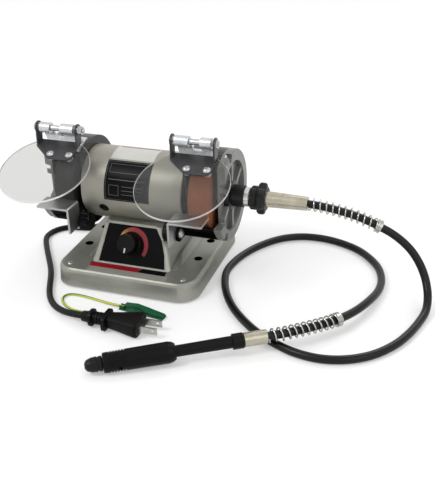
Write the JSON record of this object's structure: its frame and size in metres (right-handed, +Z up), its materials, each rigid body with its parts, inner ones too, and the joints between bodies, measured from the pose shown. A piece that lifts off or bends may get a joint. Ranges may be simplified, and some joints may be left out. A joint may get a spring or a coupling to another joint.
{
  "type": "bench grinder",
  "caption": "Small bench grinder with a wheel at each end, tilting clear eye shields, a speed dial, and a flexible shaft with a handpiece.",
  "frame": {"origin": "on the floor, midway between the four bench mounting holes of the base", "axes": "+Z up; +X to the right along the motor axis, towards the flexible shaft's end; the dial faces -Y"},
  "size_m": [0.4092, 0.3699, 0.1528],
  "materials": {
    "silver_paint": "satin silver-grey paint",
    "steel_plate": "plain sheet steel",
    "rubber": "matt black rubber",
    "zinc": "bright zinc plate",
    "panel_black": "satin black",
    "board_green": "green board",
    "brushed_silver": "fine brushed",
    "black_paint": "satin black paint",
    "core_steel": "laminated steel",
    "copper_wire": "enamelled copper",
    "bearing_steel": "ground steel",
    "brass": "bright brass",
    "carbon": "carbon",
    "black_plastic": "black moulded plastic",
    "cover_grey": "satin dark grey",
    "zinc_sheet": "zinc-plated sheet",
    "nickel": "bright nickel plate",
    "spring_steel": "bright spring wire",
    "sheath_black": "black ribbed sheath",
    "handpiece_black": "satin black",
    "handpiece_grey": "dark grey satin",
    "cord_black": "satin black cord",
    "earth_yellow_green": "yellow and green stripe",
    "clip_green": "green",
    "clear_lens": "clear, glossy",
    "fan_plastic": "ivory moulded plastic",
    "grey_abrasive": "gritty dark grey",
    "brown_abrasive": "gritty red-brown"
  },
  "bodies": {
    "grinder": {"base_casting": "silver_paint", "bottom_cover": "steel_plate", "rubber_feet": "rubber", "base_screws": "zinc", "control_panel": "panel_black", "dial_potentiometer": "steel_plate", "control_board": "board_green", "motor_housing": "brushed_silver", "end_bell_left": "black_paint", "end_bell_right": "black_paint", "stator_core": "core_steel", "field_coils": "copper_wire", "shaft_bearings": "bearing_steel", "brush_holders": "brass", "carbon_brushes": "carbon", "brush_caps": "black_plastic", "guard_left": "black_paint", "guard_right": "black_paint", "guard_cover_left": "cover_grey", "guard_cover_right": "cover_grey", "cover_screws": "zinc", "guard_bolts": "zinc", "shield_bracket_left": "zinc_sheet", "shield_bracket_right": "zinc_sheet", "bracket_bolts": "zinc", "shaft_union": "nickel", "coupling_sleeve": "nickel", "shaft_springs": "spring_steel", "flex_sheath": "sheath_black", "handpiece_body": "handpiece_black", "handpiece_tail": "handpiece_grey", "cord_gland": "cord_black", "mains_cord": "cord_black", "mains_coil": "cord_black", "plug_body": "cord_black", "plug_blades": "zinc", "earth_wire": "earth_yellow_green", "clip_lower_jaw": "clip_green"},
    "rotor": {"rotor_shaft": "bearing_steel", "armature": "core_steel", "commutator": "copper_wire", "cooling_fan": "fan_plastic", "wheel_left": "grey_abrasive", "wheel_right": "brown_abrasive", "wheel_flanges": "bearing_steel", "wheel_nuts": "zinc"},
    "chuck": {"collet_chuck": "handpiece_black"},
    "dial": {"speed_dial": "black_plastic"},
    "union_nut": {"coupling_nut": "black_plastic"},
    "shield_left": {"shield_plate_left": "black_paint", "shield_lens_left": "clear_lens", "shield_screws_left": "zinc"},
    "shield_right": {"shield_plate_right": "black_paint", "shield_lens_right": "clear_lens", "shield_screws_right": "zinc"},
    "rest_left": {"tool_rest_left": "zinc_sheet"},
    "rest_right": {"tool_rest_right": "zinc_sheet"},
    "knob_left": {"rest_knob_left": "black_plastic"},
    "knob_right": {"rest_knob_right": "black_plastic"},
    "clip_jaw": {"clip_upper_jaw": "clip_green"}
  },
  "joints": [
    {"name": "rotor_spin", "type": "hinge", "parent": "grinder", "child": "rotor", "pos_m": [-0.0025, 0.0015, 0.0825], "axis": [1, 0, 0], "continuous": true},
    {"name": "chuck_spin", "type": "hinge", "parent": "grinder", "child": "chuck", "pos_m": [0.02769, -0.18956, 0.0083], "axis": [-0.8698, -0.4921, -0.0363], "continuous": true},
    {"name": "dial_turn", "type": "hinge", "parent": "grinder", "child": "dial", "pos_m": [-0.0015, -0.04204, 0.03935], "axis": [0, 0.8796, -0.4756], "range_deg": [0, 270]},
    {"name": "shield_tilt_left", "type": "hinge", "parent": "grinder", "child": "shield_left", "pos_m": [-0.0693, -0.035, 0.147], "axis": [1, 0, 0], "range_deg": [-75, 8]},
    {"name": "shield_tilt_right", "type": "hinge", "parent": "grinder", "child": "shield_right", "pos_m": [0.0643, -0.035, 0.147], "axis": [1, 0, 0], "range_deg": [-75, 8]},
    {"name": "rest_slide_left", "type": "slide", "parent": "grinder", "child": "rest_left", "axis": [0, 1, 0], "range_m": [-0.002, 0.0035]},
    {"name": "rest_slide_right", "type": "slide", "parent": "grinder", "child": "rest_right", "axis": [0, 1, 0], "range_m": [-0.002, 0.0035]},
    {"name": "rest_knob_left_turn", "type": "hinge", "parent": "grinder", "child": "knob_left", "pos_m": [-0.0458, -0.0425, 0.0585], "axis": [1, 0, 0], "range_deg": [0, 180]},
    {"name": "rest_knob_right_turn", "type": "hinge", "parent": "grinder", "child": "knob_right", "pos_m": [0.0408, -0.0425, 0.0585], "axis": [-1, 0, 0], "range_deg": [0, 180]},
    {"name": "union_nut_turn", "type": "hinge", "parent": "grinder", "child": "union_nut", "pos_m": [0.1125, 0.0015, 0.0825], "axis": [1, 0, 0], "range_deg": [0, 180]},
    {"name": "clip_open", "type": "hinge", "parent": "grinder", "child": "clip_jaw", "pos_m": [0.02588, -0.09575, 0.0042], "axis": [-0.1219, -0.9925, 0], "range_deg": [0, 12], "stiffness_Nm_per_rad": 0.03, "springref_deg": -11.46}
  ],
  "couplings": [
    {"joint": "chuck_spin", "follows": "rotor_spin", "ratio": 1}
  ]
}
